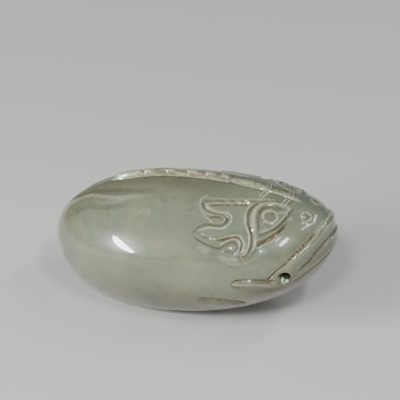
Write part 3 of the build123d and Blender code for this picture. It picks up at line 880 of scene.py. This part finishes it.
def earth_roll(name, line, start, stop, radius, sink, node, seed, rings=90):
    """A lumpy closed roll of earth lying in a groove, on the near flank and on the far one."""
    at = np.linspace(start, stop, rings)
    path = np.stack([np.interp(at, shares(line), line[:, k]) for k in range(3)], -1)
    lumps = np.random.default_rng(seed).normal(0, 1, (rings, ROUND))
    for _ in range(2):
        lumps = (lumps + np.roll(lumps, 1, 0) + np.roll(lumps, -1, 0)) / 2.4
    swell = np.sin(np.linspace(0, 23, rings) + seed) * np.cos(np.linspace(0, 41, rings))
    taper = np.sqrt(np.clip(np.sin(np.linspace(0.02, math.pi - 0.02, rings)), 0, 1))
    points, faces = [], []
    for side in (-1, 1):
        faces += rolled(len(points), rings)
        for i in range(rings):
            forward = path[min(i + 1, rings - 1)] - path[max(i - 1, 0)]
            forward /= np.linalg.norm(forward)
            out = facing[np.argmin(np.linalg.norm(spot - path[i], axis=1))]
            across = np.cross(forward, out)
            across /= np.linalg.norm(across)
            for k in range(ROUND):
                a = 2 * math.pi * k / ROUND
                r = radius * taper[i] * (0.72 + 0.28 * swell[i]) * (1 + 0.22 * lumps[i, k])
                v = path[i] + across * math.cos(a) * r * 1.25 + out * (math.sin(a) * r * 0.8 - sink)
                points.append((v[0], side * v[1], v[2]))
    roll = make_mesh(name, to_row(points), faces, outward=True)
    finish_piece(roll, earth_finish, node)


earth_roll("lip_earth", upper_lip, 0.30, 0.74, 0.17, 0.42, "mouth_earth", seed=5)
earth_roll("lid_earth", cheek_cut, 0.30, 0.92, 0.17, 0.28, "eyelid_earth", seed=8)
earth_roll("cheek_earth", under_groove, 0.45, 0.96, 0.14, 0.18, "scroll_earth", seed=11)

# Earth in the notches behind the crest's hooks: a short lump from behind each tip to under it.
LUMP_RINGS, LUMP_BACK, LUMP_LONG = 14, 0.85, 0.95
LUMP_HALF, LUMP_THICK, LUMP_ABOVE = 0.42, 0.16, 0.84
points, faces = [], []
for tip in HOOK_TIPS:
    faces += rolled(len(points), LUMP_RINGS)
    for i in range(LUMP_RINGS):
        share = i / (LUMP_RINGS - 1)
        along = tip - LUMP_BACK + LUMP_LONG * i / (LUMP_RINGS - 1)
        swell = math.sqrt(math.sin(math.pi * min(max(share, 0.03), 0.97)))
        top = float(radii(np.array(along))[0]) + LUMP_ABOVE
        for k in range(ROUND):
            a = 2 * math.pi * k / ROUND
            r = swell * (1 + 0.18 * noise.noise(Vector((along * 2.1, k * 1.7, tip))))
            points.append((along, LUMP_HALF * r * math.cos(a), top + LUMP_THICK * r * math.sin(a)))
notch_earth = make_mesh("notch_earth", to_row(points), faces, outward=True)
finish_piece(notch_earth, earth_finish, "crest_earth")

# Green mineral grains stuck in the lower rim of the near hole: (x, z) places and radii in mm.
GRAINS = ((-0.55, -0.05, 0.50), (0.66, 0.26, 0.38), (-0.30, 0.42, 0.30), (-1.0, 0.20, 0.24),
          (0.1, -0.35, 0.30), (-0.42, 0.80, 0.20))
GRAIN_SHIFT_X, GRAIN_SHIFT_Z = -0.40, 0.28
GRAIN_LUMPS, LUMPS_PER_METRE = 0.30, 2600
low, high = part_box("rim_grains")
shell = bmesh.new()
for x_off, z_off, radius in GRAINS:
    grain = bmesh.ops.create_icosphere(shell, subdivisions=3, radius=radius * MM)
    place = (low + high) / 2 + Vector((x_off + GRAIN_SHIFT_X, 0.0, z_off + GRAIN_SHIFT_Z)) * MM
    for v in grain["verts"]:
        v.co *= 1 + GRAIN_LUMPS * noise.noise(v.co * LUMPS_PER_METRE + Vector((x_off * 9, 0, 0)))
        v.co += place
grain_mesh = bpy.data.meshes.new("rim_crystals")
shell.to_mesh(grain_mesh)
shell.free()
finish_piece(add_object("rim_crystals", grain_mesh), green_grains(), "rim_grains")

# ---- table, light and camera ----
TABLE = 3.0                         # half size of the table, in metres
floor = make_mesh("table_top", [(-TABLE, -TABLE, 0), (TABLE, -TABLE, 0), (TABLE, TABLE, 0),
                                (-TABLE, TABLE, 0)], [(0, 1, 2, 3)])
floor.data.materials.append(
    Tree("pale_table").shade({"Base Color": srgb(226, 225, 222), "Roughness": 0.85}))

world = bpy.data.worlds.new("studio")
bpy.context.scene.world = world
world.use_nodes = True
world.node_tree.nodes["Background"].inputs["Color"].default_value = (0.94, 0.97, 1.0, 1.0)
world.node_tree.nodes["Background"].inputs["Strength"].default_value = 0.17

middle = Vector(centre * MM)


def softbox(name, start, stop, distance, width, power):
    """Long area light that faces the pebble and spans from one direction to another."""
    start, stop = Vector(start).normalized(), Vector(stop).normalized()
    toward = (start + stop).normalized()
    along = (stop - start).normalized()
    data = bpy.data.lights.new(name, "AREA")
    data.shape = "ELLIPSE"
    data.size, data.size_y = (stop - start).length * distance, width
    data.energy = power
    turn = Matrix((along, toward.cross(along), toward)).transposed().to_4x4()
    add_object(name, data).matrix_world = Matrix.Translation(middle + toward * distance) @ turn


# Directions of the two ends; distance and width are in metres, power in watts.
softbox("key", (-0.78, -0.45, 0.44), (-0.58, -0.79, 0.19), distance=0.6, width=0.058, power=3.4)
softbox("front", (0.17, -0.77, 0.62), (0.06, -0.71, 0.70), distance=0.7, width=0.10, power=1.6)
softbox("right", (0.43, -0.24, 0.87), (0.44, -0.54, 0.72), distance=0.7, width=0.06, power=1.2)
softbox("rear", (0.52, 0.05, 0.85), (0.45, 0.63, 0.63), distance=0.7, width=0.04, power=0.7)
softbox("side", (0.87, 0.28, 0.41), (0.72, 0.63, 0.28), distance=0.7, width=0.045, power=0.5)

# The camera stands where the photograph was taken from, as seen from the pebble's centre.
CAMERA_DIRECTION, CAMERA_DISTANCE = (0.296, -0.814, 0.5), 0.420
lens = bpy.data.cameras.new("camera")
lens.sensor_width = 36
lens.lens = 170.5
lens.shift_x, lens.shift_y = 0.048, 0.074
lens.clip_end = 10
camera = add_object("camera", lens)
view = Vector(CAMERA_DIRECTION).normalized()
camera.location = middle + view * CAMERA_DISTANCE
camera.rotation_euler = view.to_track_quat("Z", "Y").to_euler()
bpy.context.scene.camera = camera
